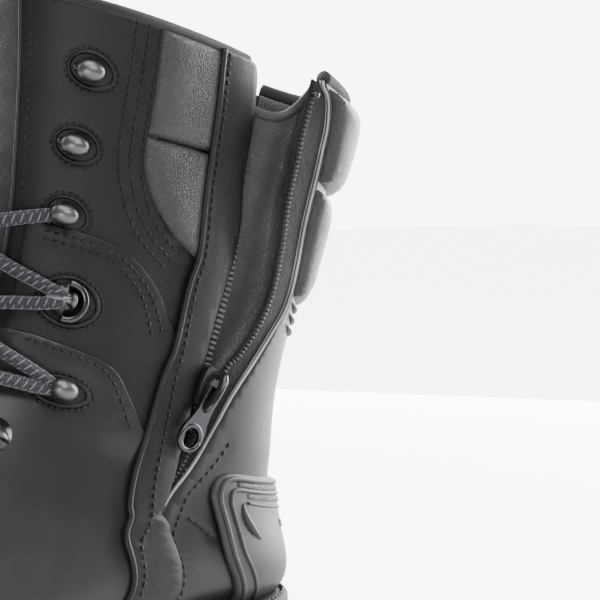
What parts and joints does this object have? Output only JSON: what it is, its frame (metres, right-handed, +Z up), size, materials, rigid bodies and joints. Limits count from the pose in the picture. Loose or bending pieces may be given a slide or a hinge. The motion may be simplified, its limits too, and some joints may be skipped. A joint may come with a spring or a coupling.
{
  "type": "fire_boot",
  "caption": "Firefighter's black leather side-zip boot, right foot, zip open, with speed hooks, lock hooks, padded collar and rubber heel counter",
  "frame": {"origin": "on the ground under the ankle, at the centre of the tread across the boot", "axes": "-X points to the toe, -Y to the inner side with the zip, +Z up"},
  "size_m": [0.3325, 0.1121, 0.2481],
  "materials": {
    "leather": "full-grain hydrophobic black leather, fine grain, satin",
    "soft_leather": "soft nappa leather, visible grain, semi-gloss",
    "rubber": "black nitrile rubber, matt",
    "textile": "black woven tape and brushed lining",
    "lining": "dark grey moisture-managing lining",
    "gunmetal": "gunmetal-plated steel, polished",
    "black_metal": "gloss black enamel on zinc",
    "coil": "dark grey polyester coil",
    "reflective": "dark grey retro-reflective knurled film",
    "lace": "round braided aramid lace with yellow-green tracer",
    "steel": "spring steel",
    "board": "fibre lasting board",
    "toe_cap": "moulded composite"
  },
  "bodies": {
    "boot": {"outsole": "rubber", "midsole": "rubber", "shank": "steel", "penetration_plate": "steel", "lasting_board": "board", "footbed": "lining", "toe_cap_shell": "toe_cap", "heel_stiffener": "toe_cap", "vamp": "leather", "toe_bumper": "rubber", "medial_quarter": "leather", "lateral_quarter": "leather", "heel_leather": "leather", "ankle_overlay_medial": "leather", "ankle_overlay_lateral": "leather", "front_collar_pads": "soft_leather", "lateral_collar_pads": "soft_leather", "collar_binding": "textile", "front_zip_facing": "leather", "zip_tape_front": "textile", "zip_coil_front": "coil", "zip_bottom_stop": "gunmetal", "zip_top_stop_front": "gunmetal", "gusset": "soft_leather", "flex_panel": "soft_leather", "heel_counter": "rubber", "counter_band": "reflective", "shaft_lining": "lining", "vamp_lining": "lining", "speed_hooks_medial": "gunmetal", "speed_hooks_lateral": "gunmetal", "lock_hook_medial": "gunmetal", "lock_hook_lateral": "gunmetal", "lace_loops": "gunmetal", "lace": "lace", "lace_end_medial": "lace", "lace_end_lateral": "lace", "lace_tips": "black_metal"},
    "rear_flap": {"rear_quarter": "leather", "rear_collar_pads": "soft_leather", "rear_zip_facing": "leather", "zip_tape_rear": "textile", "zip_coil_rear": "coil", "zip_top_stop_rear": "gunmetal", "rear_lining": "lining"},
    "zip_slider": {"slider_body": "black_metal"},
    "zip_puller": {"slider_puller": "gunmetal"},
    "tongue_flap": {"tongue": "soft_leather"}
  },
  "joints": [
    {"name": "flap_swing", "type": "hinge", "parent": "boot", "child": "rear_flap", "pos_m": [-0.026, -0.042, 0.066], "axis": [-0.6159, -0.7878, 0], "range_deg": [-0.62, 8.38], "deforming": ["gusset", "flex_panel", "zip_tape_rear", "zip_coil_rear", "zip_top_stop_rear"]},
    {"name": "slider_travel", "type": "hinge", "parent": "boot", "child": "zip_slider", "pos_m": [-0.399, -0.041, 0.238], "axis": [0, -1, 0], "range_deg": [-0.9, 12.4]},
    {"name": "puller_swing", "type": "hinge", "parent": "zip_slider", "child": "zip_puller", "pos_m": [-0.0014, -0.0458, 0.1096], "axis": [-0.8268, -0.092, 0.5549], "range_deg": [0, 150]},
    {"name": "tongue_tilt", "type": "hinge", "parent": "boot", "child": "tongue_flap", "pos_m": [-0.11, 0, 0.1], "axis": [0, 1, 0], "range_deg": [0, 5]}
  ],
  "couplings": [
    {"joint": "flap_swing", "follows": "slider_travel", "ratio": 0.672}
  ]
}
